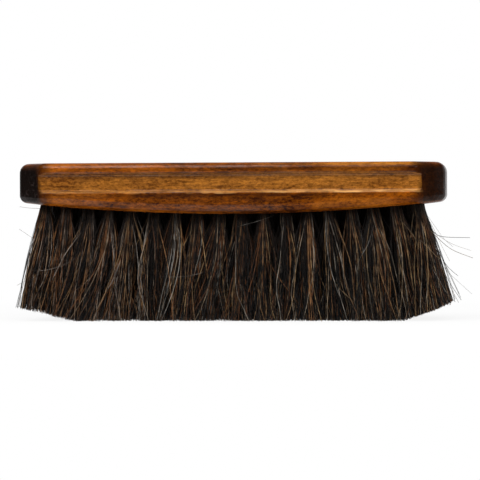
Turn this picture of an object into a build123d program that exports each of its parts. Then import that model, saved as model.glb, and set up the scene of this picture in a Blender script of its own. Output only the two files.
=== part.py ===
from build123d import *
import math
import os

# A shoe shine brush that stands on the tips of its hair. +X runs along the block and +Z points up.
# The origin lies under the middle of the block, level with the tips. Lengths are in mm, angles in degrees.

os.makedirs("parts", exist_ok=True)

# Block of wood
block_length = 200.0
block_width = 56.0
middle_thickness = 23.5
end_thickness = 17.8
corner_cut = 11.0
corner_round = 5.0
top_edge_round = 3.2
lower_edge_round = 4.2

# Finger groove along each long side
groove_below_top = 5.4
groove_height = 7.8
groove_depth = 2.0
groove_round = 1.7

# Tuft holes, in staggered rows that fan outwards
column_count = 35
row_count = 5
end_land = 12.9
side_land = 9.0
hole_width = 4.4
hole_sides = 6
hole_depth = 9.0
end_lean = 10.0
side_lean = 8.0

# Drilled underside of the block, cut into one slice for each column of tufts
slice_thickness = 1.0
field_clearance = 0.8

# Staples that hold the tufts
wire_size = 0.9
staple_clearance = 0.45
staple_leg = 4.0

# Hair
bristle_length = 50.0
strands_per_tuft = 4
strand_sides = 3
plug_clearance = 0.05
strand_root_radius = 0.75
strand_tip_radius = 1.6
root_inset = 0.2
tip_gap = 0.7
strand_bow = 0.5
strand_swirl = 14.0
tip_unevenness = 1.6
trim_start = 75.0
trim_angle = 15.5

# Shares of a strand's length where its sections lie: bowed strands show, straight ones lie behind them
bowed_shares = (0.0, 0.5, 1.0)
straight_shares = (0.0, 1.0)

# Length by which a cutter runs past what it cuts
overrun = 2.0

# Sizes worked out from those above
top_height = bristle_length + middle_thickness
crown_rise = middle_thickness - end_thickness
crown_radius = ((block_length / 2) ** 2 + crown_rise**2) / (2 * crown_rise)
crown_centre_height = bristle_length + crown_radius
field_margin = lower_edge_round + field_clearance
end_tuft_x = block_length / 2 - end_land
side_tuft_y = block_width / 2 - side_land
column_pitch = 2 * end_tuft_x / (column_count - 1)
row_pitch = 2 * side_tuft_y / (row_count - 1)
staple_width = hole_width - 2 * staple_clearance
root_ring = hole_width / 2 - root_inset - strand_root_radius
tip_stretch = bristle_length * math.tan(math.radians(end_lean)) / end_tuft_x
tip_ring = column_pitch * (1 + tip_stretch) - strand_tip_radius - tip_gap
golden_angle = 180 * (3 - math.sqrt(5))


def clipped_rectangle(length, width, cut):
    """Rectangle about the origin whose corners are cut off at 45 degrees."""
    rectangle = Rectangle(length, width)
    return chamfer(rectangle.vertices(), cut)


def crown_cylinder(rise):
    """Large cylinder across the block whose lowest line lies a given rise above the crown's."""
    barrel = Rot(90, 0, 0) * Cylinder(crown_radius - rise, block_width + overrun)
    return Pos(0, 0, crown_centre_height) * barrel


def underside_height(x):
    """Height of the crowned underside at a distance x from the middle."""
    return crown_centre_height - math.sqrt(crown_radius**2 - x**2)


def finger_groove(side):
    """Cutter for the groove of one long side, which runs out through the clipped corners."""
    section = Plane.YZ * RectangleRounded(2 * groove_depth, groove_height, groove_round)
    bar = extrude(section, amount=block_length / 2, both=True)
    centre_height = top_height - groove_below_top - groove_height / 2
    return Pos(0, side * block_width / 2, centre_height) * bar


def block_body():
    """The block before it is drilled: crowned below, rounded at every edge, grooved along both sides."""
    outline = clipped_rectangle(block_length, block_width, corner_cut)
    outline = fillet(outline.vertices(), corner_round)
    prism = extrude(outline, amount=middle_thickness + overrun)
    body = Pos(0, 0, bristle_length - overrun) * prism & crown_cylinder(0)
    body = fillet(body.edges().group_by(Axis.Z)[-1], top_edge_round)
    underside = body.faces().sort_by(Axis.Z)[0]
    body = fillet(underside.edges(), lower_edge_round)
    return body - [finger_groove(side) for side in (-1, 1)]


def column_x(column):
    """Distance of a column of tufts from the middle of the block."""
    return (column - (column_count - 1) / 2) * column_pitch


def rows_of(column):
    """Rows that have a tuft in a column. Neighbouring columns are staggered."""
    return range(column % 2, row_count, 2)


def row_y(row):
    """Distance of a row of tufts from the middle of the block."""
    return (row - (row_count - 1) / 2) * row_pitch


def tuft_lean(x, y):
    """Slope of a tuft along X and along Y, outwards for each unit of height downwards."""
    slope_x = math.tan(math.radians(end_lean)) * x / end_tuft_x
    slope_y = math.tan(math.radians(side_lean)) * y / side_tuft_y
    return slope_x, slope_y


def tuft_plane(x, y):
    """Plane at the mouth of a tuft's hole, with its Z axis along the hole into the wood."""
    slope_x, slope_y = tuft_lean(x, y)
    mouth = (x, y, underside_height(x))
    return Plane(origin=mouth, x_dir=(1, 0, slope_x), z_dir=(-slope_x, -slope_y, 1))


def hole_section(clearance):
    """Section of a hole, or of what fills it with some clearance, with two flats across X."""
    radius = hole_width / 2 - clearance
    return RegularPolygon(radius, hole_sides, major_radius=False, rotation=180 / hole_sides)


def tuft_hole(x, y):
    """Cutter for one blind hole, drilled along the lean of its tuft."""
    drill = extrude(hole_section(0), amount=hole_depth + overrun)
    return tuft_plane(x, y).location * Pos(0, 0, -overrun) * drill


def staple(x, y):
    """Wire staple with its bridge on the bottom of the hole and its legs in the wood beyond."""
    floor = (Align.CENTER, Align.CENTER, Align.MIN)
    bridge = Box(staple_width, wire_size, wire_size, align=floor)
    leg = Box(wire_size, wire_size, wire_size + staple_leg, align=floor)
    leg_x = (staple_width - wire_size) / 2
    wire = bridge + [Pos(side * leg_x, 0, 0) * leg for side in (-1, 1)]
    return tuft_plane(x, y).location * Pos(0, 0, hole_depth - wire_size) * wire


def hair_plug(x, y):
    """Folded root of a tuft, from inside its slice down the hole to the bridge of the staple."""
    plug_start = slice_thickness / 2
    plug_length = hole_depth - wire_size - plug_start
    plug = extrude(hole_section(plug_clearance), amount=plug_length)
    return tuft_plane(x, y).location * Pos(0, 0, plug_start) * plug


def trim_height(x):
    """Height to which the hair is trimmed: level, then rising towards each end."""
    return max(0, (abs(x) - trim_start) * math.tan(math.radians(trim_angle)))


def strand_ring(x, y, angle, share, tip_height):
    """Corners of a strand's level section, at a share of the way from its root to its tip."""
    slope_x, slope_y = tuft_lean(x, y)
    mouth = underside_height(x)
    root_height = mouth + slice_thickness / 2
    height = root_height + (tip_height - root_height) * share
    ring = root_ring + (tip_ring - root_ring) * share + strand_bow * math.sin(math.pi * share)
    radius = strand_root_radius + (strand_tip_radius - strand_root_radius) * share
    swing = math.radians(angle + strand_swirl * share)
    centre_x = x + slope_x * (mouth - height) + ring * math.cos(swing)
    centre_y = y + slope_y * (mouth - height) + ring * math.sin(swing)
    corners = [math.radians(angle + side * 360 / strand_sides) for side in range(strand_sides)]
    return [
        (centre_x + radius * math.cos(corner), centre_y + radius * math.sin(corner), height)
        for corner in corners
    ]


def strand(x, y, turn, index, shares):
    """One strand of a tuft: flat sides between level sections that spread from root to tip."""
    slope_x, slope_y = tuft_lean(x, y)
    angle = turn + index * 360 / strands_per_tuft
    tip_swing = math.radians(angle + strand_swirl)
    tip_x = x + slope_x * underside_height(x) + tip_ring * math.cos(tip_swing)
    tip_height = trim_height(tip_x) + tip_unevenness * index / strands_per_tuft
    rings = [strand_ring(x, y, angle, share, tip_height) for share in shares]
    faces = [Face(Wire.make_polygon(ring)) for ring in (rings[0], rings[-1])]
    for near, far in zip(rings, rings[1:]):
        for side in range(strand_sides):
            after = (side + 1) % strand_sides
            corners = [near[side], near[after], far[after], far[side]]
            faces.append(Face(Wire.make_polygon(corners)))
    return Solid(Shell(faces))


def slice_line(rise):
    """The underside's height at each edge of a slice, as points of the XZ plane, raised a little."""
    reach = block_length / 2
    inner_edges = [column_x(column) + column_pitch / 2 for column in range(column_count - 1)]
    return [(x, underside_height(x) + rise) for x in [-reach, *inner_edges, reach]]


def across(points):
    """Bar across the block with its section's corners given as points of the XZ plane."""
    section = Plane.XZ * Polygon(*points, align=None)
    return extrude(section, amount=block_width / 2, both=True)


def tuft_field():
    """Prism over the part of the underside that holds the tufts."""
    field_cut = corner_cut - field_margin * (2 - math.sqrt(2))
    field_length = block_length - 2 * field_margin
    field_width = block_width - 2 * field_margin
    outline = clipped_rectangle(field_length, field_width, field_cut)
    return extrude(outline, amount=top_height)


def slice_bed(field):
    """Cutter for the bed of the slices in the block: one flat step behind each slice."""
    back = slice_line(slice_thickness)
    ends = [(x, bristle_length - overrun) for x in (back[-1][0], back[0][0])]
    return across(back + ends) & field


def tuft_slice(field, column):
    """One slice of the drilled underside, fused with the plugs and strands of its tufts."""
    front = slice_line(0)[column : column + 2]
    back = slice_line(slice_thickness)[column : column + 2]
    wood = across(front + back[::-1]) & field
    pieces = []
    x = column_x(column)
    for row in rows_of(column):
        y = row_y(row)
        turn = golden_angle * (column * row_count + row)
        shares = bowed_shares if row in (0, row_count - 1) else straight_shares
        pieces.append(hair_plug(x, y))
        pieces += [strand(x, y, turn, index, shares) for index in range(strands_per_tuft)]
    return wood + pieces


tuft_places = [
    (column_x(column), row_y(row)) for column in range(column_count) for row in rows_of(column)
]
field = tuft_field()
staples = [staple(x, y) for x, y in tuft_places]
holes = [tuft_hole(x, y) for x, y in tuft_places]
wood_block = block_body() - [slice_bed(field)] - holes - staples
export_step(wood_block, "parts/wood_block.step")

for column in range(column_count):
    export_step(tuft_slice(field, column), f"parts/tuft_slice_{column + 1:02d}.step")

for row in range(row_count):
    members = [
        wire for wire, (x, y) in zip(staples, tuft_places) if math.isclose(y, row_y(row))
    ]
    export_step(Compound(children=members), f"parts/staple_row_{row + 1}.step")

print(f"{len(tuft_places)} tufts, {len(tuft_places) * strands_per_tuft} strands")
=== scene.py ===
"""A shoe shine brush: a lacquered block of beech with tufts of horsehair in its drilled underside.

The block runs along X and the hair points down. Lengths are in metres.
"""

import math

import bpy
from bpy.props import FloatProperty, FloatVectorProperty, IntProperty, PointerProperty
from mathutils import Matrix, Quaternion, Vector


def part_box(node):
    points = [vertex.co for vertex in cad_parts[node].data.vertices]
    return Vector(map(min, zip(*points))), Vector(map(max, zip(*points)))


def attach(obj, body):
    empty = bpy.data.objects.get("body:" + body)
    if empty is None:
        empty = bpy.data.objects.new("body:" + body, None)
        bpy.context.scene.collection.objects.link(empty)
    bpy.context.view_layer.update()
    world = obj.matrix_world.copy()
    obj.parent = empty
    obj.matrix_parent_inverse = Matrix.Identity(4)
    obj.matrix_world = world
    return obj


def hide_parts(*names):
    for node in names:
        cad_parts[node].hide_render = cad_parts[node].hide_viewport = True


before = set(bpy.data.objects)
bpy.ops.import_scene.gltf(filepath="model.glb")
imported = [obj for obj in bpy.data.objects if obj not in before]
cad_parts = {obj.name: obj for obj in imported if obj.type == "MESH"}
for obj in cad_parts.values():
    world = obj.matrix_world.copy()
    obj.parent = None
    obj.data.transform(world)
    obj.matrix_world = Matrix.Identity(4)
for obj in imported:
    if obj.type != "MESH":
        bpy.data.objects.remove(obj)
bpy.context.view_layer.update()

bl_info = {
    "name": "Shoe Shine Brush",
    "version": (1, 0, 0),
    "blender": (4, 5, 0),
    "location": "3D View > Sidebar > Brush",
    "description": "Builds a shoe shine brush from its wood, its hair and its stage",
    "category": "Add Mesh",
}

MM = 0.001
BODY = "root"
HAIR_MATERIAL = "mixed_horsehair"
WHITE = (1.0, 1.0, 1.0)
block_low, block_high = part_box("wood_block")


def colour(red, green, blue):
    """A screen colour, 0 to 255 for each part, as the linear colour that shaders use."""
    shares = [part / 255 for part in (red, green, blue)]
    return tuple(s / 12.92 if s <= 0.04045 else ((s + 0.055) / 1.055) ** 2.4 for s in shares)


def length(name, description, default):
    """A size that a user would change."""
    return FloatProperty(
        name=name, description=description, default=default, unit="LENGTH", subtype="DISTANCE"
    )


def angle(name, description, degrees):
    """An angle that a user would change, given in degrees."""
    return FloatProperty(
        name=name,
        description=description,
        default=math.radians(degrees),
        unit="ROTATION",
        subtype="ANGLE",
    )


def finish_colour(name, description, red, green, blue):
    """A colour that a user would change, given as a screen colour."""
    return FloatVectorProperty(
        name=name,
        description=description,
        default=colour(red, green, blue),
        subtype="COLOR",
        min=0.0,
        max=1.0,
    )


class BlockSettings(bpy.types.PropertyGroup):
    """Sizes and colours of the wooden block."""

    length: length("Length", "Length of the block", block_high.x - block_low.x)
    width: length("Width", "Width of the block", block_high.y - block_low.y)
    top: length("Top", "Height of the flat top", block_high.z)
    belly: length("Belly", "Height of the underside in the middle", block_low.z - 0.4 * MM)
    crown_rise: length("Crown rise", "How far the underside rises towards the ends", 5.7 * MM)
    corner_cut: length("Corner cut", "Size of the clipped corners", 12.5 * MM)
    corner_round: length("Corner round", "Radius between the sides and the corners", 5 * MM)
    top_round: length("Top edge", "Radius of the top edge", 3.2 * MM)
    lower_round: length("Lower edge", "Radius of the lower edge", 4.2 * MM)
    cove_drop: length("Groove drop", "Distance of the finger groove below the top", 5.4 * MM)
    cove_height: length("Groove height", "Height of the finger groove", 7.8 * MM)
    cove_depth: length("Groove depth", "Depth of the finger groove", 2 * MM)
    lip_round: length("Groove lip", "Radius of the lips of the finger groove", 1.2 * MM)
    amber: finish_colour("Amber", "Lightest wood of the grooves", 194, 124, 44)
    brown: finish_colour("Brown", "Darkest wood of the grooves", 76, 38, 10)
    russet: finish_colour("Russet", "Lightest wood of the edges", 160, 82, 8)
    umber: finish_colour("Umber", "Darkest wood of the edges", 40, 14, 3)
    # Colour of the lower lips of the grooves: worn wood, and a painted highlight where they face up.
    lip_wear_and_highlight: finish_colour("Worn", "Wood of the burnished lips of the grooves", 232, 174, 104)
    flecks: finish_colour("Flecks", "Dark flecks of the beech", 62, 28, 10)
    stain: finish_colour("Stain", "Dark stain of the corners", 7, 2, 1)
    # A painted highlight: specks of light on the dark corners.
    painted_glint: finish_colour("Polish", "Specks of light on the dark corners", 170, 150, 145)


class HairSettings(bpy.types.PropertyGroup):
    """Sizes and colours of the hair."""

    columns: IntProperty(name="Columns", description="Columns of tufts along the block", default=35)
    rows: IntProperty(name="Rows", description="Rows of tufts across the block", default=5)
    end_x: length("End column", "Distance of the end columns from the middle", 87.1 * MM)
    side_y: length("Side row", "Distance of the side rows from the middle", 19 * MM)
    end_lean: angle("End lean", "Lean of the end tufts", 10)
    side_lean: angle("Side lean", "Lean of the side tufts", 8)
    hole_width: length("Hole width", "Width of a tuft's hole", 4.9 * MM)
    wisps: IntProperty(name="Wisps", description="Wisps of a tuft", default=30)
    hairs: IntProperty(name="Hairs", description="Hairs of a wisp", default=8)
    hair_width: length("Hair width", "Thickness of a hair", 0.30 * MM)
    spread: length("Spread", "Radius of a tuft at its tips", 6.4 * MM)
    left_trim: length("Left trim", "Distance from the middle where the trim rises", 72 * MM)
    left_slope: angle("Left slope", "Slope of the trimmed left end", 13)
    right_trim: length("Right trim", "Distance from the middle where the trim rises", 81 * MM)
    right_slope: angle("Right slope", "Slope of the trimmed right end", 18.5)
    left_edge: length("Left edge", "Outline of the left end below the block", 89 * MM)
    left_fan: length("Left fan", "How much further the left end reaches at the tips", 8.3 * MM)
    right_edge: length("Right edge", "Outline of the right end below the block", 88.3 * MM)
    right_fan: length("Right fan", "How much further the right end reaches at the tips", 16 * MM)
    seed: IntProperty(name="Seed", description="Another number lays the hair anew", default=7)
    black: finish_colour("Black", "Darkest hair", 4, 4, 4)
    umber: finish_colour("Umber", "Dark brown hair", 34, 22, 15)
    rust: finish_colour("Rust", "Reddish brown hair", 128, 79, 42)
    tan: finish_colour("Tan", "Light brown hair", 160, 130, 90)
    grey: finish_colour("Grey", "Grey hair", 150, 146, 139)


class StageSettings(bpy.types.PropertyGroup):
    """Camera, lamps and floor."""

    distance: length("Distance", "Distance of the camera from the brush", 1.4)
    turn: angle("Turn", "Turn of the camera to the right", 5.5)
    rise: angle("Rise", "Height of the camera above the horizon", 0.35)
    roll: angle("Roll", "Roll of the camera", -0.2)
    frame_width: length("Frame width", "Width of the picture at the brush", 226.6 * MM)
    aim_x: length("Aim across", "Point of the brush at the middle of the picture", 2.7 * MM)
    aim_z: length("Aim height", "Height at the middle of the picture", 37.3 * MM)
    floor_colour: finish_colour("Floor", "Colour of the floor", 240, 240, 240)


def pick(sockets, key):
    """A socket by its number, or the one in use by its name."""
    if isinstance(key, int):
        return sockets[key]
    return next(socket for socket in sockets if socket.name == key and socket.enabled)


def math_method(operation, swapped=False):
    """A method that adds a Math node."""

    def method(socket, *others):
        values = (*others, socket) if swapped else (socket, *others)
        return socket.nodes.add("ShaderNodeMath", dict(enumerate(values)), operation=operation)

    return method


class Socket:
    """A value in a node tree. What is done with it adds nodes."""

    def __init__(self, nodes, socket):
        self.nodes = nodes
        self.socket = socket

    __add__ = __radd__ = math_method("ADD")
    __sub__ = math_method("SUBTRACT")
    __rsub__ = math_method("SUBTRACT", swapped=True)
    __mul__ = __rmul__ = math_method("MULTIPLY")
    __truediv__ = math_method("DIVIDE")
    __pow__ = math_method("POWER")
    __lt__ = math_method("LESS_THAN")
    __gt__ = math_method("GREATER_THAN")
    __abs__ = math_method("ABSOLUTE")
    at_least = math_method("MAXIMUM")
    modulo = math_method("MODULO")
    floor = math_method("FLOOR")
    sign = math_method("SIGN")
    sine = math_method("SINE")
    cosine = math_method("COSINE")

    def __neg__(self):
        return 0 - self

    def of(self, output):
        """Another output of the same node."""
        return Socket(self.nodes, pick(self.socket.node.outputs, output))

    def parts(self):
        """The three parts of a vector."""
        x = self.nodes.add("ShaderNodeSeparateXYZ", {"Vector": self}, output="X")
        return x, x.of("Y"), x.of("Z")

    def rise(self, start, end):
        """Rises smoothly from 0 at the start to 1 at the end."""
        return self.nodes.add(
            "ShaderNodeMapRange",
            {"Value": self, "From Min": start, "From Max": end},
            interpolation_type="SMOOTHSTEP",
        )

    def fall(self, start, end):
        """Falls smoothly from 1 at the start to 0 at the end."""
        return 1 - self.rise(start, end)

    def toward(self, shade, share):
        """This colour with a share of another."""
        return self.nodes.mix(share, self, shade)

    def store(self, name, value, kind="FLOAT", domain="POINT"):
        """This geometry with a value kept on it under a name."""
        return self.nodes.add(
            "GeometryNodeStoreNamedAttribute",
            {"Geometry": self, "Name": name, "Value": value},
            data_type=kind,
            domain=domain,
        )

    def copies(self, amount):
        """Several points for each of this geometry's."""
        values = {"Geometry": self, "Amount": amount}
        return self.nodes.add("GeometryNodeDuplicateElements", values, domain="POINT")


class Nodes:
    """A node tree, filled through one method that adds a node."""

    def __init__(self, tree):
        self.tree = tree

    def add(self, kind, values=None, output=0, stops=None, **settings):
        """Adds a node: its settings first, then its inputs. Returns one of its outputs."""
        node = self.tree.nodes.new(kind)
        for name, setting in settings.items():
            setattr(node, name, setting)
        if stops:
            self.set_stops(node.color_ramp, stops)
        for name, value in (values or {}).items():
            self.feed(pick(node.inputs, name), value)
        return Socket(self, pick(node.outputs, output)) if node.outputs else node

    def set_stops(self, ramp, stops):
        """Gives a colour ramp its stops, each a place and a colour."""
        while len(ramp.elements) < len(stops):
            ramp.elements.new(1.0)
        for element, (place, shade) in zip(ramp.elements, stops):
            element.position = place
            element.color = (*shade, 1.0)

    def feed(self, socket, value):
        """Links a value to a socket, or sets the socket to it."""
        if isinstance(value, Socket):
            self.tree.links.new(value.socket, socket)
        elif socket.type == "RGBA":
            socket.default_value = (*value[:3], 1.0)
        else:
            socket.default_value = value

    def mix(self, share, first, second):
        """A blend of two colours."""
        return self.add(
            "ShaderNodeMix",
            {"Factor": share, "A": first, "B": second},
            output="Result",
            data_type="RGBA",
        )

    def place(self):
        """Where a point lies on its object."""
        return self.add("ShaderNodeTexCoord", output="Object")

    def scaled(self, place, *scale):
        """A place with its parts scaled. A small scale draws noise out."""
        return self.add("ShaderNodeMapping", {"Vector": place, "Scale": scale})

    def join(self, x, y, z):
        """A vector from its three parts."""
        return self.add("ShaderNodeCombineXYZ", {"X": x, "Y": y, "Z": z})

    def noise(self, place, scale, detail=3.0, roughness=0.5, distortion=0.0):
        """Smooth noise about 0.5."""
        return self.add(
            "ShaderNodeTexNoise",
            {
                "Vector": place,
                "Scale": scale,
                "Detail": detail,
                "Roughness": roughness,
                "Distortion": distortion,
            },
            output="Fac",
        )

    def attribute(self, name):
        """A value that the mesh carries into its material."""
        return self.add("ShaderNodeAttribute", output="Fac", attribute_name=name)

    def stored(self, name, kind="FLOAT"):
        """A value kept on the geometry before."""
        return self.add("GeometryNodeInputNamedAttribute", {"Name": name}, data_type=kind)

    def random(self, seed):
        """A random number from 0 to 1 for each element."""
        values = {"Seed": seed}
        return self.add("FunctionNodeRandomValue", values, output="Value", data_type="FLOAT")


def new_material(name):
    """An empty material and its nodes."""
    material = bpy.data.materials.new(name)
    material.use_nodes = True
    material.node_tree.nodes.clear()
    return material, Nodes(material.node_tree)


def show(nodes, kind, values):
    """Gives a material its shader."""
    nodes.add("ShaderNodeOutputMaterial", {"Surface": nodes.add(kind, values)})


class Wood:
    """Values in the wood's node tree: where a point lies on the block, and the figure there."""

    def __init__(self, nodes, block):
        self.nodes = nodes
        self.block = block
        self.place = nodes.place()
        self.x, y, self.z = self.place.parts()
        self.end = abs(self.x)
        self.side = abs(y)
        self.half_length = block.length / 2
        self.half_width = block.width / 2
        self.cove = nodes.attribute("cove")
        self.add_figure()
        self.add_zones()
        self.add_stain()

    def add_figure(self):
        """Noise that is drawn out along the grain, from broad clouds to fine flecks."""
        nodes = self.nodes
        grain, dash, short = [nodes.scaled(self.place, long, 1.0, 1.0) for long in (0.07, 0.34, 0.6)]
        self.cloud = nodes.noise(dash, 95.0, 2.0, 0.5, 0.5).rise(0.38, 0.62)
        self.figure = nodes.noise(grain, 260.0, 4.0, 0.62, 0.8).rise(0.36, 0.64)
        self.lines = nodes.noise(grain, 760.0, 3.0, 0.65).rise(0.44, 0.68)
        self.fleck = nodes.noise(dash, 1200.0, 3.0, 0.7).rise(0.53, 0.63)
        self.mottle = nodes.noise(dash, 700.0, 4.0, 0.8).rise(0.41, 0.60)
        self.grit = nodes.noise(short, 1000.0, 2.0, 0.6).rise(0.36, 0.64) - 0.5
        self.sheen = nodes.noise(dash, 190.0, 4.0, 0.7).rise(0.42, 0.60)
        self.swerve = nodes.noise(dash, 330.0, 2.0, 0.5).rise(0.3, 0.7) - 0.5
        self.rubbed = nodes.noise(dash, 260.0, 3.0, 0.6).rise(0.42, 0.62)
        self.glint_specks = nodes.noise(self.place, 800.0, 3.0, 0.8, 0.6).rise(0.56, 0.70)

    def add_zones(self):
        """Shares from 0 to 1 that mark the block's ends and the heights about its groove."""
        block = self.block
        brow = block.top - block.cove_drop
        self.foot = brow - block.cove_height
        fifth = 0.2 * block.cove_height
        self.brow = self.z.rise(brow - 4 * MM, brow) * self.cove
        self.lower = self.z.fall(self.foot + fifth, self.foot + 4 * fifth)
        self.heel = self.z.fall(57 * MM, 61 * MM)
        self.left = (-self.x).rise(30 * MM, 80 * MM)
        self.facet = self.half_length - block.corner_cut
        self.along = self.end.rise(self.facet, self.half_length - 4 * MM)

    def add_stain(self):
        """The stained corners and ends, and the wavering edge of the groove between them."""
        block = self.block
        self.corner = self.facet + self.half_width
        near_corner = (self.end + self.side + self.cloud * 0.4 * MM).rise(
            self.corner - 2.4 * MM, self.corner - 1 * MM
        )
        past_facet = (self.end + self.cloud * MM).rise(self.facet - 0.4 * MM, self.facet + 3.8 * MM)
        near_end = self.end.rise(self.half_length - 2.5 * MM, self.half_length - 0.5 * MM)
        upward = self.z.rise(block.top - 1.2 * block.top_round, block.top - 0.5 * MM)
        self.stained = (near_corner * past_facet).at_least(near_end) * (1 - 0.8 * upward)
        # The lower lip of the groove, which is lightened as wear and as a painted highlight.
        path = self.z + self.swerve * (1.1 * MM - 0.8 * MM * self.x.rise(-20 * MM, 30 * MM))
        shelf = path.rise(self.foot - 1.2 * MM, self.foot - 0.7 * MM)
        shelf = shelf * path.fall(self.foot - 0.35 * MM, self.foot + 0.9 * MM)
        self.shelf = shelf * (1 - self.stained)


def groove_tone(wood):
    """Wood of the grooves: brown to amber, and lighter at the right end."""
    light = wood.figure * 0.2 + wood.mottle * 0.29 + wood.grit * 0.26 + wood.cloud * 0.25
    light = light - wood.left * 0.06 + 0.11 + 0.1 * wood.x.rise(50 * MM, 75 * MM)
    return wood.nodes.mix(light, wood.block.brown, wood.block.amber)


def land_tone(wood):
    """Wood outside the grooves: umber to russet, with lighter and darker lengths on its flanks."""
    x, lower = wood.x, wood.lower
    light = (wood.figure * 0.25 + wood.mottle * 0.5) * 0.7
    light = light + wood.grit * 0.22 + 0.14 + wood.cloud * 0.12
    flank = wood.side.rise(wood.half_width - 5 * MM, wood.half_width - 2.5 * MM)
    pale = (1 - lower) * (0.08 + 0.2 * wood.left) * x.fall(-12 * MM, 6 * MM)
    dark = x.rise(5 * MM, 25 * MM) * (1 - x.rise(60 * MM, 90 * MM) * lower)
    right = x.rise(55 * MM, 85 * MM) * lower
    rim = wood.z.rise(wood.foot - 3.4 * MM, wood.foot - 1.8 * MM) * x.rise(40 * MM, 60 * MM)
    lengths = wood.cloud * 0.30 - 0.14 + pale - 0.11 * dark + 0.06 * wood.left
    lengths = lengths + 0.22 * right + 0.25 * rim * lower
    return wood.nodes.mix(light + flank * lengths, wood.block.umber, wood.block.russet)


def edge_lines(wood, tone):
    """Darkens where the stain pools about the edges, paints shade below the top edge and at the top
    of the groove, and paints a highlight on the top edge towards the right.
    """
    block, x, z = wood.block, wood.x, wood.z
    below = wood.foot - z
    pooled = below.rise(0.8 * MM, 1.7 * MM) * below.fall(1.8 * MM, 4.6 * MM)
    pooled = pooled * (1 - 0.85 * x.rise(35 * MM, 65 * MM))
    tone = tone.toward(block.umber, pooled * (0.62 - 0.3 * wood.cloud))
    top_highlight = z.rise(block.top - 2.2 * MM, block.top - 0.9 * MM)
    # Painted shade in a band below the rounded top edge, on the right half.
    shade_below_edge = (1 - top_highlight) * z.rise(block.top - 4.4 * MM, block.top - 3 * MM)
    tone = tone.toward(block.umber, shade_below_edge * 0.35 * x.rise(-20 * MM, 10 * MM))
    # Painted highlight along the top edge on the right, where the edge faces the lamps.
    top_highlight = top_highlight * wood.side.rise(wood.half_width - 3.4 * MM, wood.half_width - 1.8 * MM)
    top_highlight = top_highlight * x.rise(20 * MM, 60 * MM) * (1 - wood.along)
    tone = tone.toward(block.amber, top_highlight * (0.25 + 0.4 * wood.mottle))
    # Painted shade at the top of the groove, in the recess under its upper lip.
    tone = tone.toward(block.umber, wood.brow * (0.35 - 0.15 * wood.left))
    burst = (wood.end + wood.side + wood.cloud * 2 * MM).rise(
        wood.corner - 4.5 * MM, wood.corner + 0.5 * MM
    )
    return tone.toward(block.umber, burst * (1 - wood.cove) * 0.75)


def groove_lips(wood, tone):
    """Paints shade on the groove's upper lip, and lightens its lower lip towards the right: partly
    wear, partly a painted highlight.
    """
    # Painted shade on the upper lip, which faces down.
    upper_lip_shade = wood.cove * (1 - wood.cove) * 4 * (1 - wood.lower)
    tone = tone.toward(wood.block.umber, upper_lip_shade * (0.57 - 0.5 * wood.left))
    # Partly wear, partly a painted highlight on the lower lip, which faces up; stronger towards the
    # right.
    wear_and_highlight = wood.shelf * (0.3 + 0.7 * wood.rubbed)
    return tone.toward(wood.block.lip_wear_and_highlight, wear_and_highlight * (0.12 + 0.75 * wood.x.rise(-60 * MM, 90 * MM)))


def stained_corners(wood, tone):
    """Stains the corners and ends, less so on the right, with painted highlights on the left: specks
    of light, more of them low down.
    """
    block = wood.block
    crown = wood.z.rise(block.top - 6 * MM, block.top - 3 * MM) * (1 - wood.along)
    bare = (wood.x > 0) * (0.22 + 0.16 * wood.mottle) + 0.03 * crown
    bare = bare * (1 - 0.45 * wood.end.rise(wood.facet, wood.facet + 9 * MM))
    tone = tone.toward(block.stain, wood.stained * (0.985 - bare))
    # Painted highlights: specks of light on the stain, more near the bottom where the lower edge
    # would reflect the floor.
    glint_specks = wood.glint_specks * (0.01 + 0.11 * wood.cloud + 0.1 * wood.heel)
    return tone.toward(block.painted_glint, wood.stained * glint_specks * (wood.x < 0))


def coat_weight(wood):
    """How much the lacquer shines: less towards the right, on the stain and on the groove's lower
    lip.
    """
    x = wood.x
    gloss = 1 - 0.75 * x.rise(0.0, 50 * MM) * (1 - wood.cove)
    gloss = gloss * (1 - (0.9 - 0.6 * (x > 0) - 0.4 * wood.heel) * wood.stained)
    gloss = gloss * (1 - 0.6 * wood.shelf * x.fall(40 * MM, 80 * MM))
    gloss = gloss + 0.6 * x.rise(wood.half_length - 6 * MM, wood.half_length - 2 * MM)
    return (0.28 + 0.45 * wood.sheen + 0.3 * wood.brow) * gloss


def lacquered_wood(block):
    """Stained beech under gloss lacquer: amber in the grooves, nearly black at the corners."""
    material, nodes = new_material("lacquered_beech")
    wood = Wood(nodes, block)
    in_groove = (wood.cove * 0.8 + 0.5 * wood.cloud).rise(0.30, 0.95)
    tone = nodes.mix(in_groove, land_tone(wood), groove_tone(wood))
    tone = tone.toward(block.flecks, wood.lines * 0.42)
    tone = tone.toward(block.flecks, wood.fleck * 0.50)
    tone = groove_lips(wood, edge_lines(wood, tone))
    height = wood.mottle * 0.5 + wood.lines * 0.4 - wood.fleck * 0.5
    values = {"Strength": 0.45, "Distance": 0.08 * MM, "Height": height}
    bump = nodes.add("ShaderNodeBump", values)
    values = {
        "Base Color": stained_corners(wood, tone),
        "Roughness": 0.38 + 0.15 * wood.mottle,
        "Specular IOR Level": 0.03,
        "Specular Tint": (1.0, 0.52, 0.18, 1.0),
        "Coat Weight": coat_weight(wood),
        "Coat Roughness": 0.16,
        "Normal": bump,
    }
    show(nodes, "ShaderNodeBsdfPrincipled", values)
    return material


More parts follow.
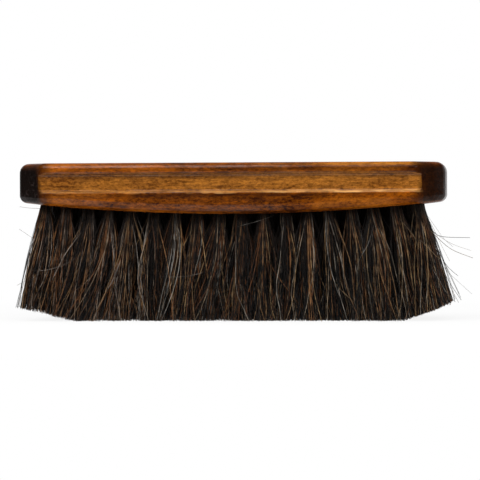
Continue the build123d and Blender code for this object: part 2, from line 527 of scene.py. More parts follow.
def horsehair(hair):
    """Mixed horsehair: mostly black, with brown, tan and grey hairs."""
    material, nodes = new_material(HAIR_MATERIAL)
    tone = nodes.attribute("tone")
    share = nodes.attribute("share")
    place = nodes.place()
    x, y, _ = place.parts()
    left = (-x).rise(20 * MM, 70 * MM)
    stops = [
        (0.0, hair.black),
        (0.54, hair.black),
        (0.70, hair.umber),
        (0.83, hair.rust),
        (0.92, hair.tan),
        (1.0, hair.grey),
    ]
    shade = nodes.add("ShaderNodeValToRGB", {"Fac": tone + 0.06 * left}, stops=stops)
    shade = shade.toward(hair.rust, 0.3 * left * tone.rise(0.6, 0.8))
    patch = nodes.noise(place, 260.0, 2.0).rise(0.38, 0.62)
    front = abs(y).rise(hair.side_y - 6 * MM, hair.side_y - 0.5 * MM)
    ends = abs(x).rise(hair.end_x - 6 * MM, hair.end_x - 0.5 * MM)
    inner = (1 - front.at_least(ends)) * share.fall(0.38, 0.8)
    shadows = (
        0.65 - 0.65 * patch,
        0.85 - 0.85 * share.rise(0.04, 0.34),
        0.95 * inner,
        0.2 * share.rise(0.86, 0.98),
        0.28 * x.rise(20 * MM, 70 * MM),
    )
    for shadow in shadows:
        shade = shade.toward(hair.black, shadow)
    shade = shade.toward(hair.rust, 0.02 - 0.02 * share.rise(0.3, 0.6))
    values = {"Base Color": shade, "Roughness": 0.42, "Specular IOR Level": 0.25}
    show(nodes, "ShaderNodeBsdfPrincipled", values)
    return material


def drawn_steel():
    """Drawn wire: bright steel with fine lines along it."""
    material, nodes = new_material("drawn_steel")
    scratch = nodes.noise(nodes.scaled(nodes.place(), 1.0, 1.0, 0.08), 4000.0, 2.0)
    tone = nodes.mix(scratch, colour(150, 152, 156), colour(205, 207, 210))
    values = {"Base Color": tone, "Metallic": 1.0, "Roughness": 0.25 + 0.2 * scratch}
    show(nodes, "ShaderNodeBsdfPrincipled", values)
    return material


def new_piece(name, mesh):
    """An object of the scene at the origin."""
    piece = bpy.data.objects.new(name, mesh)
    bpy.context.scene.collection.objects.link(piece)
    return piece


def finished(piece, slot, *nodes):
    """Fixes a piece to the body and hides the nodes that it stands for. The slot is not used."""
    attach(piece, BODY)
    if nodes:
        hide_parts(*nodes)


SOCKET_KINDS = {
    float: "NodeSocketFloat",
    int: "NodeSocketInt",
    tuple: "NodeSocketVector",
    bpy.types.Material: "NodeSocketMaterial",
    bpy.types.Object: "NodeSocketObject",
}


def new_modifier_tree(name, values):
    """A Geometry Nodes tree with an input for each value. Returns its nodes, geometry and inputs."""
    tree = bpy.data.node_groups.new(name, "GeometryNodeTree")
    tree.is_modifier = True
    for way in ("INPUT", "OUTPUT"):
        tree.interface.new_socket("Geometry", in_out=way, socket_type="NodeSocketGeometry")
    for label, value in values.items():
        kind = SOCKET_KINDS[type(value)]
        tree.interface.new_socket(label, in_out="INPUT", socket_type=kind)
    nodes = Nodes(tree)
    geometry = nodes.add("NodeGroupInput", output="Geometry")
    inputs = {label: geometry.of(label) for label in values}
    return nodes, geometry, inputs


def end_tree(nodes, mesh, material):
    """Ends a tree in one real mesh with its material."""
    mesh = nodes.add("GeometryNodeRealizeInstances", {"Geometry": mesh})
    mesh = nodes.add("GeometryNodeSetMaterial", {"Geometry": mesh, "Material": material})
    nodes.add("NodeGroupOutput", {"Geometry": mesh})


def run_tree(piece, tree, values):
    """Runs a tree on a piece and keeps the result as the piece's plain mesh."""
    modifier = piece.modifiers.new(tree.name, "NODES")
    modifier.node_group = tree
    for item in tree.interface.items_tree:
        if item.in_out == "INPUT" and item.name in values:
            modifier[item.identifier] = values[item.name]
    graph = bpy.context.evaluated_depsgraph_get()
    made = bpy.data.meshes.new_from_object(
        piece.evaluated_get(graph), preserve_all_data_layers=True, depsgraph=graph
    )
    piece.modifiers.remove(modifier)
    made.materials.clear()
    made.materials.append(values["Material"])
    drawn = piece.data
    piece.data = made
    bpy.data.meshes.remove(drawn)
    made.name = piece.name


# Steps of the block's mesh. Those of the facet and the side are crowded towards the corners.
END_ARC_STEPS, FACET_STEPS, SIDE_ARC_STEPS, SIDE_STEPS = 20, 60, 44, 44
FACET_CROWDING, SIDE_CROWDING = 1.6, 1.5
TOP_EDGE_STEPS, LIP_STEPS, HOLLOW_STEPS = 12, 7, 9
WALL_STEPS, FLANK_STEPS, LOWER_EDGE_STEPS = 5, 8, 14

# How the edges change towards the ends, and the depth over which the groove takes its own tone
TOP_EDGE_GROWTH = 1.6 * MM
LOWER_EDGE_LOSS = 0.22
EASING_HEIGHT = 8 * MM
COVE_BLEND = 0.3 * MM


def underside(block, x):
    """Height of the crowned underside at a distance x from the middle."""
    radius = ((block.length / 2) ** 2 + block.crown_rise**2) / (2 * block.crown_rise)
    return block.belly + radius - math.sqrt(radius**2 - x**2)


def clamped(share):
    """A number, held between 0 and 1."""
    return min(1.0, max(0.0, share))


def end_share(block, x, start):
    """Rises from 0 to 1 over the clipped corners, from a distance before the end of the block."""
    return clamped((abs(x) - (block.length / 2 - start)) / block.corner_cut)


def top_radius(block, x):
    """Radius of the top edge at a distance x from the middle. It is larger at the ends."""
    share = end_share(block, x, block.corner_cut - block.cove_depth)
    return block.top_round + TOP_EDGE_GROWTH * share


def lower_radius(block, x):
    """Radius of the lower edge at a distance x from the middle. It is smaller at the ends."""
    return block.lower_round * (1 - LOWER_EDGE_LOSS * end_share(block, x, 2 * block.corner_cut))


def shares(count):
    """Numbers from 0 to 1 in even steps."""
    return [step / count for step in range(count + 1)]


def quarter_plan(block):
    """A quarter of the block's plan, from its end to its side's middle: points and normals."""
    radius = block.corner_round
    inset = block.corner_cut + radius * math.tan(math.pi / 8)
    end_centre = (block.length / 2 - radius, block.width / 2 - inset)
    side_centre = (block.length / 2 - inset, block.width / 2 - radius)

    def arc(centre, start, count):
        turns = [start + math.pi / 4 * share for share in shares(count)]
        ways = [(math.cos(turn), math.sin(turn)) for turn in turns]
        return [(centre[0] + radius * way[0], centre[1] + radius * way[1], *way) for way in ways]

    end_arc = arc(end_centre, 0, END_ARC_STEPS)
    side_arc = arc(side_centre, math.pi / 4, SIDE_ARC_STEPS)
    first, last = end_arc[-1], side_arc[0]
    facet = []
    for share in shares(FACET_STEPS)[1:-1]:
        share = 1 - (1 - share) ** FACET_CROWDING
        spot = [a + (b - a) * share for a, b in zip(first[:2], last[:2])]
        facet.append((*spot, *first[2:]))
    side = [
        (side_centre[0] * (1 - share**SIDE_CROWDING), block.width / 2, 0.0, 1.0)
        for share in shares(SIDE_STEPS)[1:]
    ]
    return end_arc + facet + side_arc + side


def plan(block):
    """The block's plan, anticlockwise from its right end, with outward normals."""
    quarter = quarter_plan(block)
    half = quarter + [(-x, y, -nx, ny) for x, y, nx, ny in quarter[-2::-1]]
    return half + [(x, -y, nx, -ny) for x, y, nx, ny in half[::-1]]


def arc_steps(count):
    """Sine and one minus cosine over a quarter turn."""
    turns = [math.pi / 2 * share for share in shares(count)]
    return [(math.sin(turn), 1 - math.cos(turn)) for turn in turns]


def groove_profile(block):
    """Depth of the groove and drop below the top, from its upper lip to its lower one."""
    lip = block.lip_round
    hollow = block.cove_depth - lip
    start = block.cove_drop
    wall = block.cove_height - 2 * hollow
    upper = [(lip * rest, start - lip + lip * sine) for sine, rest in arc_steps(LIP_STEPS)]
    for sine, rest in arc_steps(HOLLOW_STEPS)[1:]:
        upper.append((lip + hollow * sine, start + hollow * rest))
    flat = [
        (block.cove_depth, start + hollow + wall * share) for share in shares(WALL_STEPS)[1:-1]
    ]
    ends = 2 * start + block.cove_height
    return upper + flat + [(depth, ends - drop) for depth, drop in reversed(upper)]


def block_rings(block):
    """Section of the block from top to bottom: inset, groove depth, cap, drop, crown, lift.

    The inset, the cap and the lift are shares of the radius of the rounded edge above or below.
    The crown is 0 for a height taken from the flat top, and 1 for one taken from the underside.
    """
    low = block.cove_drop + block.cove_height + block.lip_round
    rings = [(1 - sine, 0, rest, 0, 0, 0) for sine, rest in arc_steps(TOP_EDGE_STEPS)]
    rings += [(0, depth, 0, drop, 0, 0) for depth, drop in groove_profile(block)]
    rings += [(0, 0, 0, low, share, 1) for share in shares(FLANK_STEPS)[1:-1]]
    rings += [(rest, 0, 0, 0, 1, 1 - sine) for sine, rest in arc_steps(LOWER_EDGE_STEPS)]
    return rings


def block_mesh(block):
    """The block as stacked rings, closed by a ladder of faces above and below."""
    outline = plan(block)
    count = len(outline)
    points = []
    cove = []
    for inset, groove, cap, drop, crown, lift in block_rings(block):
        limit = block.width / 2 - groove
        easing = max(0.0, 1 - max(0.0, drop - block.top_round) / EASING_HEIGHT) * (drop > 0)
        for x, y, normal_x, normal_y in outline:
            radius = lower_radius(block, x) if crown else top_radius(block, x)
            x -= normal_x * inset * radius
            y -= normal_y * inset * radius
            cove.append(clamped((abs(y) - limit) / COVE_BLEND))
            y = math.copysign(min(abs(y), limit), y)
            extra = top_radius(block, x) - block.top_round
            high = block.top - cap * block.top_round - drop - extra * (cap or easing)
            low = underside(block, x) + lift * radius
            points.append((x, y, high * (1 - crown) + low * crown))
    bottom = len(points) - count
    faces = []
    for above in range(0, bottom, count):
        below = above + count
        for spot in range(count):
            after = (spot + 1) % count
            faces.append((below + spot, below + after, above + after, above + spot))
    for spot in range(count // 2 - 1):
        rung = (spot, spot + 1, count - 2 - spot, count - 1 - spot)
        faces.append(rung)
        faces.append(tuple(bottom + corner for corner in reversed(rung)))
    mesh = bpy.data.meshes.new("wooden_block")
    mesh.from_pydata(points, [], faces)
    mesh.attributes.new("cove", "FLOAT", "POINT").data.foreach_set("value", cove)
    return mesh


def tuft_mouths(block, hair, column):
    """Where the tufts of a column leave the wood. Neighbouring columns are staggered."""
    x = (2 * column / (hair.columns - 1) - 1) * hair.end_x
    rows = range(column % 2, hair.rows, 2)
    return [(x, (2 * row / (hair.rows - 1) - 1) * hair.side_y, underside(block, x)) for row in rows]


def fan(hair):
    """How much a tuft leans outwards along X and Y for each metre from the middle."""
    return (math.tan(hair.end_lean) / hair.end_x, math.tan(hair.side_lean) / hair.side_y, 0.0)


HOLE_SIDES = 14


def hole_tree(values):
    """Drills a blind hole for each tuft, along the tuft's lean."""
    nodes, block, given = new_modifier_tree("Tuft holes", values)
    tufts = nodes.add("GeometryNodeObjectInfo", {"Object": given["Tufts"]}, output="Geometry")
    tufts = nodes.add("GeometryNodeMeshToPoints", {"Mesh": tufts})
    radius = given["Hole width"] / 2
    sizes = {"Vertices": HOLE_SIDES, "Radius": radius, "Depth": given["Depth"] * 2}
    drill = nodes.add("GeometryNodeMeshCylinder", sizes)
    x, y, _ = nodes.add("GeometryNodeInputPosition").parts()
    fan_x, fan_y, _ = given["Fan"].parts()
    way = nodes.join(-x * fan_x, -y * fan_y, 1.0)
    turn = nodes.add("FunctionNodeAlignRotationToVector", {"Vector": way}, axis="Z")
    set_out = {"Points": tufts, "Instance": drill, "Rotation": turn}
    drills = nodes.add("GeometryNodeInstanceOnPoints", set_out)
    drills = nodes.add("GeometryNodeRealizeInstances", {"Geometry": drills})
    drilled = nodes.add(
        "GeometryNodeMeshBoolean", {0: block, 1: drills}, operation="DIFFERENCE", solver="MANIFOLD"
    )
    end_tree(nodes, drilled, given["Material"])
    return nodes.tree


# Strips of the bake map: how many lie side by side, and the margins that each keeps
HAIRS_PER_LINE = 64
ACROSS_MARGIN = 0.1
UPWARDS_MARGIN = 0.04

# Values that only the trees of the hair use, so that their meshes don't keep them
SPENT = (
    *("around", "hair", "mouth", "root_x", "root_y", "tip_x", "tip_y", "bow"),
    *("thick", "cut", "phase", "open", "width"),
)

# Shares of what leaves the outline that is taken back
END_PRESS = 0.75
SIDE_PRESS = 0.4


def hair_tubes(nodes, curves, width, per_line, lines):
    """Fine tubes along curves. Each has its own strip of the bake map, with its length upwards."""
    ring = nodes.add("GeometryNodeCurvePrimitiveCircle", {"Resolution": 3, "Radius": 0.5})
    ring = ring.store("around", nodes.add("GeometryNodeInputIndex") / 2)
    values = {"Curve": curves, "Profile Curve": ring, "Scale": width, "Fill Caps": True}
    mesh = nodes.add("GeometryNodeCurveToMesh", values)
    index = nodes.stored("hair")
    across = index.modulo(per_line) + ACROSS_MARGIN
    across = across + (1 - 2 * ACROSS_MARGIN) * nodes.stored("around")
    upwards = (index / per_line).floor() + UPWARDS_MARGIN
    upwards = upwards + (1 - 2 * UPWARDS_MARGIN) * nodes.stored("share")
    spot = nodes.join(across / per_line, upwards / lines, 0.0)
    mesh = mesh.store("OFBake", spot, "FLOAT2", "CORNER")
    for name in SPENT:
        mesh = nodes.add("GeometryNodeRemoveAttribute", {"Geometry": mesh, "Name": name})
    return mesh


def disk(nodes, seed):
    """A random spot in a circle of radius 1 for each element, as its X and Y."""
    turn = nodes.random(seed) * math.tau
    reach = nodes.random(seed + 1) ** 0.4
    return turn.cosine() * reach, turn.sine() * reach


def tuft_points(nodes, mesh, seed):
    """One point for each tuft, with the way that it leans and how soon it opens."""
    tufts = nodes.add("GeometryNodeMeshToPoints", {"Mesh": mesh})
    tufts = tufts.store("mouth", nodes.add("GeometryNodeInputPosition"), "FLOAT_VECTOR")
    tufts = tufts.store("tip_x", 1.4 * nodes.random(seed + 30) - 0.7)
    tufts = tufts.store("tip_y", 0.5 * nodes.random(seed + 31) - 0.25)
    return tufts.store("open", 0.55 + 0.8 * nodes.random(seed + 32))


def wisp_points(nodes, tufts, given, seed):
    """The wisps of each tuft: where each starts and ends, its bow and its tone."""
    wisps = tufts.copies(given["Wisps"])
    away = 0.55 + 0.95 * nodes.random(seed + 7) ** 2
    for way, root, apart in zip("xy", disk(nodes, seed + 1), disk(nodes, seed + 3)):
        wisps = wisps.store(f"root_{way}", root)
        lean = nodes.stored(f"tip_{way}") + 0.3 * nodes.stored(f"root_{way}")
        wisps = wisps.store(f"tip_{way}", lean + away * apart)
    wisps = wisps.store("bow", nodes.random(seed + 5) - 0.5)
    return wisps.store("tone", nodes.random(seed + 6))


def hair_points(nodes, wisps, given, seed):
    """The hairs of each wisp. Some stray, some keep the wisp's tone and a few are cut short."""
    hairs = wisps.copies(given["Hairs"])
    hairs = hairs.store("hair", nodes.add("GeometryNodeInputIndex"), "INT")
    inner = given["Hole width"] / 2 - 0.1 * MM
    stray = nodes.random(seed + 15) < given["Strays"]
    loose = 0.2 + 1.6 * stray
    for way, near, off in zip("xy", disk(nodes, seed + 11), disk(nodes, seed + 13)):
        root = inner * (0.72 * nodes.stored(f"root_{way}") + 0.28 * near)
        hairs = hairs.store(f"root_{way}", root)
        tip = given["Spread"] * (nodes.stored(f"tip_{way}") + loose * off)
        hairs = hairs.store(f"tip_{way}", tip)
    own_bow = nodes.random(seed + 22) - 0.5
    hairs = hairs.store("bow", nodes.stored("bow") + 2.4 * stray * own_bow)
    own = nodes.random(seed + 16) < 0.78
    tone = own * nodes.random(seed + 17) + (1 - own) * nodes.stored("tone")
    hairs = hairs.store("tone", tone)
    pale = nodes.stored("tone").rise(0.66, 0.84)
    hairs = hairs.store("thick", 0.65 + 0.5 * nodes.random(seed + 18) + 0.45 * pale)
    short = nodes.random(seed + 19) < 0.05
    cut = nodes.random(seed + 20)
    hairs = hairs.store("cut", short * cut * 20 * MM + cut**3 * given["Unevenness"])
    return hairs.store("phase", nodes.random(seed + 21) * math.tau)


def held(given, x, gone):
    """Presses what leaves the outline of the two ends back towards it."""
    left = (-x - given["Left edge"] - given["Left fan"] * gone).at_least(0.0)
    right = (x - given["Right edge"] - given["Right fan"] * gone).at_least(0.0)
    return x + END_PRESS * left - END_PRESS * right


def hair_height(nodes, given, x, fan_x, top):
    """Height of a point of a hair, from its root in the hole down to the trimmed outline."""
    tip_x = held(given, x + x * fan_x * top + nodes.stored("tip_x"), 1.0)
    left = (-tip_x - given["Left trim"]) * given["Left slope"]
    right = (tip_x - given["Right trim"]) * given["Right slope"]
    low = left.at_least(right).at_least(0.0) + nodes.stored("cut") + 0.1 * MM
    high = top + given["Root depth"]
    return high + (low - high) * nodes.stored("share")


def hair_place(nodes, given):
    """Where a point of a hair lies: it opens from the hole, leans with its tuft, bows and waves."""
    x, y, top = nodes.stored("mouth", "FLOAT_VECTOR").parts()
    fan_x, fan_y, _ = given["Fan"].parts()
    height = hair_height(nodes, given, x, fan_x, top)
    drop = top - height
    gone = nodes.add("ShaderNodeClamp", {"Value": drop / top})
    opened = gone ** (nodes.stored("open") + 0.3 * nodes.stored("thick"))
    flare = 1 + 0.4 * drop.rise(-1.0 * MM, 2.5 * MM)
    phase = nodes.stored("phase")
    belly = (gone * math.pi).sine() * nodes.stored("bow") * 4.5 * MM
    ripple = (gone * (3.5 + phase) + phase).sine() * gone * 1.3 * MM
    ripple = ripple + (gone * 15 + 5 * phase).sine() * gone * 0.45 * MM

    def spread(way):
        root = nodes.stored(f"root_{way}") * flare
        return root + (nodes.stored(f"tip_{way}") - root) * opened

    hair_x = spread("x") + x + x * fan_x * drop + belly + ripple * phase.cosine()
    hair_y = spread("y") + y + y * fan_y * drop + ripple * phase.sine()
    strayed = (abs(hair_y) - given["Side reach"]).at_least(0.0)
    hair_y = hair_y - SIDE_PRESS * strayed * hair_y.sign()
    return nodes.join(held(given, hair_x, gone), hair_y, height)


def tuft_tree(values):
    """Turns one point for each tuft into its hairs."""
    nodes, mesh, given = new_modifier_tree("Hair tufts", values)
    seed = given["Seed"] * 100
    wisps = wisp_points(nodes, tuft_points(nodes, mesh, seed), given, seed)
    points = hair_points(nodes, wisps, given, seed).copies(given["Points"])
    points = points.store("share", points.of("Duplicate Index") / (given["Points"] - 1))
    moved = {"Geometry": points, "Position": hair_place(nodes, given)}
    points = nodes.add("GeometryNodeSetPosition", moved)
    share = nodes.stored("share")
    joined = {"Points": points, "Curve Group ID": nodes.stored("hair", "INT"), "Weight": share}
    curves = nodes.add("GeometryNodePointsToCurves", joined)
    width = given["Hair width"] * nodes.stored("thick") * (1 - 0.35 * share)
    made = hair_tubes(nodes, curves, width, HAIRS_PER_LINE, given["Lines"])
    end_tree(nodes, made, given["Material"])
    return nodes.tree


class SHINE_BRUSH_OT_block(bpy.types.Operator):
    """Make the wooden block with its finger grooves and lacquer"""

    bl_idname = "shine_brush.block"
    bl_label = "Wooden Block"

    def execute(self, context):
        block = context.scene.brush_block
        hair = context.scene.brush_hair
        piece = new_piece("wooden_block", block_mesh(block))
        mouths = []
        for column in range(hair.columns):
            mouths += tuft_mouths(block, hair, column)
        marks = bpy.data.meshes.new("hole_marks")
        marks.from_pydata(mouths, [], [])
        tufts = new_piece("hole_marks", marks)
        values = {
            "Tufts": tufts,
            "Hole width": hair.hole_width,
            "Depth": 4 * MM,
            "Fan": fan(hair),
            "Material": lacquered_wood(block),
        }
        run_tree(piece, hole_tree(values), values)
        bpy.data.objects.remove(tufts)
        bpy.data.meshes.remove(marks)
        piece.data.shade_smooth()
        piece.data.set_sharp_from_angle(angle=math.radians(60))
        finished(piece, "lacquered_wood", "wood_block")
        return {"FINISHED"}


class SHINE_BRUSH_OT_hair(bpy.types.Operator):
    """Make the tufts of horsehair, one piece for each column"""

    bl_idname = "shine_brush.hair"
    bl_label = "Hair"

    def execute(self, context):
        block = context.scene.brush_block
        hair = context.scene.brush_hair
        most = (hair.rows + 1) // 2 * hair.wisps * hair.hairs
        values = {
            "Wisps": hair.wisps,
            "Hairs": hair.hairs,
            "Points": 10,
            "Seed": hair.seed,
            "Lines": math.ceil(most / HAIRS_PER_LINE),
            "Hair width": hair.hair_width,
            "Hole width": hair.hole_width,
            "Root depth": 3 * MM,
            "Spread": hair.spread,
            "Strays": 0.24,
            "Unevenness": 0.2 * MM,
            "Left trim": hair.left_trim,
            "Left slope": math.tan(hair.left_slope),
            "Right trim": hair.right_trim,
            "Right slope": math.tan(hair.right_slope),
            "Left edge": hair.left_edge,
            "Left fan": hair.left_fan,
            "Right edge": hair.right_edge,
            "Right fan": hair.right_fan,
            "Side reach": 36 * MM,
            "Fan": fan(hair),
            "Material": horsehair(hair),
        }
        tree = tuft_tree(values)
        for column in range(hair.columns):
            number = f"{column + 1:02d}"
            mesh = bpy.data.meshes.new(f"tufts_{number}")
            mesh.from_pydata(tuft_mouths(block, hair, column), [], [])
            piece = new_piece(mesh.name, mesh)
            run_tree(piece, tree, {**values, "Seed": hair.seed + column})
            piece.data.shade_smooth()
            finished(piece, "horsehair", f"tuft_slice_{number}")
        return {"FINISHED"}


# Tones of the single hairs
BLACK, RUST, TAN, GREY = 0.3, 0.84, 0.93, 1.0

# Single hairs that stand out of the mass: tone, thickness and places that they pass, in millimetres
LOOSE_HAIRS = (
    (GREY, 0.16, (-81.8, -14, 50), (-89.4, -16, 52.3), (-94, -17, 52.6), (-99.6, -17, 53.3)),
    (GREY, 0.14, (-83.6, -15, 32), (-89.4, -16, 35.6), (-93.2, -17, 38.4), (-99.6, -18, 42.8)),
    (GREY, 0.20, (-71.9, -27, 29), (-78.5, -29, 25.5), (-88.6, -27, 23.4), (-96.3, -22, 24.6)),
    (GREY, 0.16, (-80.9, -20, 24), (-90.6, -21, 21.5), (-95.5, -21, 19), (-100.3, -21, 16.5)),
    (GREY, 0.22, (-84, -19, 47), (-87.8, -20, 36), (-92, -21, 23), (-97.7, -21, 6.6)),
    (GREY, 0.22, (-83.3, -17, 46), (-88.6, -18, 34), (-93.9, -20, 24), (-95.7, -21, 12)),
    (BLACK, 0.24, (-84, -19, 44), (-87.8, -20, 33), (-92.5, -21, 19), (-98.1, -21, 7.4)),
    (GREY, 0.20, (-83.6, -15, 42), (-89.2, -17, 31), (-93.3, -19, 20), (-96.7, -21, 7.6)),
    (GREY, 0.20, (-85.6, -15, 38), (-90.8, -17, 31), (-93.9, -19, 26), (-95.1, -21, 17)),
    (BLACK, 0.22, (88.6, -19, 50), (93.6, -20, 42), (98.1, -21, 38.8), (111.4, -21, 38.2)),
    (TAN, 0.22, (88.6, -18, 46), (95, -19, 39.6), (102.5, -20, 33), (112.7, -21, 28.8)),
    (TAN, 0.12, (89.5, -15, 47), (94.5, -16, 41), (102.4, -17, 35.6), (111.8, -18, 32.2)),
    (TAN, 0.12, (88.6, -17, 50), (92.6, -18, 46), (97.5, -19, 36), (101.9, -20, 27.4)),
    (GREY, 0.12, (90.5, -17, 50), (95.5, -18, 43), (99, -19, 38), (103.5, -20, 34)),
    (BLACK, 0.22, (90.6, -19, 46), (95.6, -20, 35), (100.5, -21, 25.5), (105.8, -21, 20.6)),
    (BLACK, 0.20, (90.6, -18, 44), (96.5, -19, 33), (101.5, -20, 22), (107, -21, 10.5)),
    (BLACK, 0.22, (90.6, -20, 42), (96, -21, 31), (101.1, -22, 19), (107.3, -22, 9.4)),
    (GREY, 0.18, (90.5, -17, 43), (96.5, -18, 32), (100.9, -19, 24), (106.4, -20, 12.2)),
    (TAN, 0.18, (91.5, -16, 41), (96.5, -17, 30), (100.4, -18, 19), (106, -19, 8.2)),
    (GREY, 0.12, (94.5, -17, 30), (100.4, -18, 23), (104.4, -19, 19.2), (112.1, -20, 12.2)),
    (TAN, 0.30, (-76.3, -27, 9), (-72.8, -28, 13.5), (-67.9, -28, 17), (-60.2, -27, 25)),
    (GREY, 0.26, (-69, -27, 41), (-75.9, -27, 32), (-79.6, -28, 25), (-82.6, -28, 19)),
    (GREY, 0.11, (3.2, -23, 43.6), (8.2, -24, 44.8), (14.1, -24, 46.4), (20.9, -23, 48.8)),
    (GREY, 0.14, (-32.7, -27, 20.6), (-25.7, -28, 20.4), (-18.9, -28, 20.8), (-12.1, -27, 22.4)),
    (TAN, 0.30, (79, -24, 47), (84.9, -25, 40), (86.9, -25, 36), (87.9, -25, 30.4)),
    (TAN, 0.26, (87.8, -24, 38), (92.8, -25, 33), (96.3, -25, 29.4), (98.1, -25, 28.6)),
    (GREY, 0.26, (92.8, -25, 26), (97.7, -26, 18), (100.6, -26, 13), (104.6, -25, 8.6)),
    (TAN, 0.26, (45.6, -25, 28), (49.7, -27, 17), (56.5, -27, 10), (64.4, -27, 1.5)),
    (RUST, 0.30, (16.2, -26, 31), (23.2, -27, 20), (30.1, -27, 11), (35, -27, 5)),
    (TAN, 0.28, (10.4, -26, 22), (15.3, -27, 12), (19.3, -27, 6), (14.4, -27, 1)),
    (GREY, 0.22, (67.2, -25, 44), (64.4, -27, 35), (60.5, -27, 28), (59.5, -27, 20)),
)


def loose_tree(values):
    """Turns rough lines into smooth single hairs."""
    nodes, lines, given = new_modifier_tree("Loose hairs", values)
    curves = nodes.add("GeometryNodeMeshToCurve", {"Mesh": lines})
    curves = nodes.add(
        "GeometryNodeCurveSplineType", {"Curve": curves}, spline_type="CATMULL_ROM"
    )
    curves = nodes.add("GeometryNodeResampleCurve", {"Curve": curves, "Count": given["Points"]})
    curves = curves.store("share", nodes.add("GeometryNodeSplineParameter", output="Factor"))
    width = 1.35 * nodes.stored("width") * (1 - 0.25 * nodes.stored("share"))
    made = hair_tubes(nodes, curves, width, len(LOOSE_HAIRS), 1)
    end_tree(nodes, made, given["Material"])
    return nodes.tree


def loose_lines():
    """The rough lines of the single hairs, as a mesh of edges with their tone and thickness."""
    places = []
    edges = []
    columns = {"hair": [], "tone": [], "width": []}
    for number, (tone, width, *line) in enumerate(LOOSE_HAIRS):
        start = len(places)
        places += [[part * MM for part in place] for place in line]
        edges += [(step, step + 1) for step in range(start, len(places) - 1)]
        for column, value in zip(columns.values(), (number, tone, width * MM)):
            column += [value] * len(line)
    mesh = bpy.data.meshes.new("loose_hairs")
    mesh.from_pydata(places, edges, [])
    for name, column in columns.items():
        mesh.attributes.new(name, "FLOAT", "POINT").data.foreach_set("value", column)
    return mesh


class SHINE_BRUSH_OT_loose_hairs(bpy.types.Operator):
    """Make the single hairs that stand out of the mass"""

    bl_idname = "shine_brush.loose_hairs"
    bl_label = "Loose Hairs"

    def execute(self, context):
        material = bpy.data.materials.get(HAIR_MATERIAL)
        if material is None:
            raise RuntimeError("Make the hair before the loose hairs")
        piece = new_piece("loose_hairs", loose_lines())
        values = {"Points": 12, "Material": material}
        run_tree(piece, loose_tree(values), values)
        piece.data.shade_smooth()
        finished(piece, "horsehair")
        return {"FINISHED"}


class SHINE_BRUSH_OT_staples(bpy.types.Operator):
    """Give the staples inside the block their steel"""

    bl_idname = "shine_brush.staples"
    bl_label = "Staples"

    def execute(self, context):
        steel = drawn_steel()
        for name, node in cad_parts.items():
            if name.startswith("staple_row"):
                node.data.materials.clear()
                node.data.materials.append(steel)
        return {"FINISHED"}


# Soft square lamps: place, size across and upwards, and power
LAMPS = {
    "key_lamp": ((-0.3, -0.85, 1.15), (1.5, 0.9), 17.0),
    "fill_lamp": ((0.8, -1.1, 0.8), (0.7, 0.7), 5.0),
    "top_lamp": ((0.0, 0.1, 1.3), (2.0, 1.6), 3.0),
}
LAMP_AIM = (0.0, 0.0, 0.04)
FLOOR_REACH = 0.7


def add_lamps():
    """Soft lamps that point at the brush."""
    for name, (place, size, power) in LAMPS.items():
        data = bpy.data.lights.new(name, "AREA")
        data.shape = "RECTANGLE"
        data.size, data.size_y = size
        data.energy = power
        lamp = new_piece(name, data)
        lamp.location = place
        way = Vector(LAMP_AIM) - Vector(place)
        lamp.rotation_euler = way.to_track_quat("-Z", "Y").to_euler()


def add_camera(stage):
    """A level camera with a long lens."""
    data = bpy.data.cameras.new("camera")
    data.sensor_width = 36.0
    data.lens = data.sensor_width * stage.distance / stage.frame_width
    data.clip_start = 0.05
    data.clip_end = 20.0
    camera = new_piece("camera", data)
    level = math.cos(stage.rise)
    back = Vector((math.sin(stage.turn) * level, -math.cos(stage.turn) * level, math.sin(stage.rise)))
    camera.location = Vector((stage.aim_x, 0.0, stage.aim_z)) + back * stage.distance
    look = (-back).to_track_quat("-Z", "Y")
    camera.rotation_mode = "QUATERNION"
    camera.rotation_quaternion = look @ Quaternion((0.0, 0.0, 1.0), stage.roll)
    bpy.context.scene.camera = camera


def floor_material(stage):
    """A plain pale floor that still shows the shadow of the brush."""
    material, nodes = new_material("pale_floor")
    path = nodes.add("ShaderNodeLightPath", output="Is Camera Ray")
    seen = path.at_least(path.of("Is Glossy Ray"))
    plain = nodes.add("ShaderNodeBsdfDiffuse", {"Color": stage.floor_colour, "Roughness": 0.0})
    white = nodes.add("ShaderNodeEmission", {"Color": WHITE, "Strength": 1.0})
    values = {0: nodes.place()}
    distance = nodes.add("ShaderNodeVectorMath", values, output="Value", operation="LENGTH")
    lit = seen * (0.86 + 0.14 * distance.rise(0.15, 0.40))
    show(nodes, "ShaderNodeMixShader", {0: lit, 1: plain, 2: white})
    return material


def add_floor(stage):
    """A large level floor under the tips of the hair."""
    corners = [(x * FLOOR_REACH, y * FLOOR_REACH, 0) for x, y in ((-1, -1), (1, -1), (1, 1), (-1, 1))]
    mesh = bpy.data.meshes.new("floor")
    mesh.from_pydata(corners, [], [(0, 1, 2, 3)])
    mesh.materials.append(floor_material(stage))
    floor = new_piece("floor", mesh)


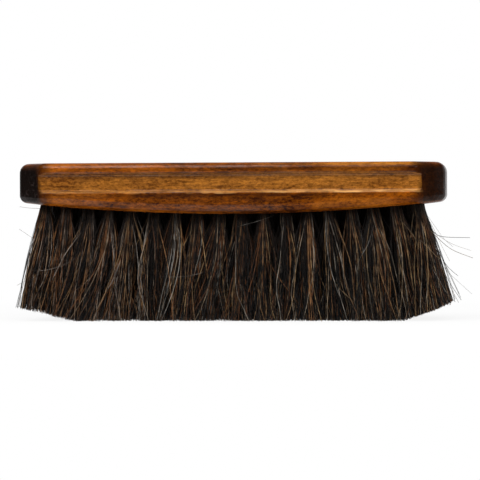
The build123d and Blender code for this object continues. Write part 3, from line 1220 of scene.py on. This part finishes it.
def set_world():
    """A white background for the camera and soft light for the rest."""
    world = bpy.data.worlds.new("studio")
    world.use_nodes = True
    world.node_tree.nodes.clear()
    nodes = Nodes(world.node_tree)
    path = nodes.add("ShaderNodeLightPath", output="Is Camera Ray")
    seen = path.at_least(path.of("Is Transmission Ray"))
    glossy = path.of("Is Glossy Ray")
    right, away, _ = nodes.add("ShaderNodeTexCoord", output="Generated").parts()
    behind = 0.9 * away.rise(0.65, 0.95)
    corners = 0.8 * (abs(right) + away).rise(1.12, 1.38)
    shine = 0.01 + behind.at_least(corners) + 0.25 * right.rise(0.6, 1.0)
    level = seen + (1 - seen) * (shine * glossy + 0.42 * (1 - glossy))
    light = nodes.add("ShaderNodeBackground", {"Color": WHITE, "Strength": level})
    nodes.add("ShaderNodeOutputWorld", {"Surface": light})
    bpy.context.scene.world = world


class SHINE_BRUSH_OT_stage(bpy.types.Operator):
    """Set the camera, the lamps and the pale floor"""

    bl_idname = "shine_brush.stage"
    bl_label = "Stage"

    def execute(self, context):
        stage = context.scene.brush_stage
        add_lamps()
        add_floor(stage)
        set_world()
        add_camera(stage)
        context.scene.view_settings.view_transform = "Standard"
        return {"FINISHED"}


class SHINE_BRUSH_PT_panel(bpy.types.Panel):
    """The brush's operators and settings"""

    bl_idname = "SHINE_BRUSH_PT_panel"
    bl_label = "Shoe Shine Brush"
    bl_space_type = "VIEW_3D"
    bl_region_type = "UI"
    bl_category = "Brush"

    def draw(self, context):
        layout = self.layout
        for operator in OPERATORS:
            layout.operator(operator.bl_idname)
        for group in SETTINGS:
            settings = getattr(context.scene, group)
            for name in settings.bl_rna.properties.keys():
                if name not in ("rna_type", "name"):
                    layout.prop(settings, name)


SETTINGS = {
    "brush_block": BlockSettings,
    "brush_hair": HairSettings,
    "brush_stage": StageSettings,
}
OPERATORS = (
    SHINE_BRUSH_OT_block,
    SHINE_BRUSH_OT_hair,
    SHINE_BRUSH_OT_loose_hairs,
    SHINE_BRUSH_OT_staples,
    SHINE_BRUSH_OT_stage,
)
CLASSES = (*SETTINGS.values(), *OPERATORS, SHINE_BRUSH_PT_panel)


def register():
    for made in CLASSES:
        bpy.utils.register_class(made)
    for group, settings in SETTINGS.items():
        setattr(bpy.types.Scene, group, PointerProperty(type=settings))


def unregister():
    for group in SETTINGS:
        delattr(bpy.types.Scene, group)
    for made in reversed(CLASSES):
        bpy.utils.unregister_class(made)


def main():
    register()
    bpy.ops.shine_brush.block()
    bpy.ops.shine_brush.hair()
    bpy.ops.shine_brush.loose_hairs()
    bpy.ops.shine_brush.staples()
    bpy.ops.shine_brush.stage()


if __name__ == "__main__":
    main()
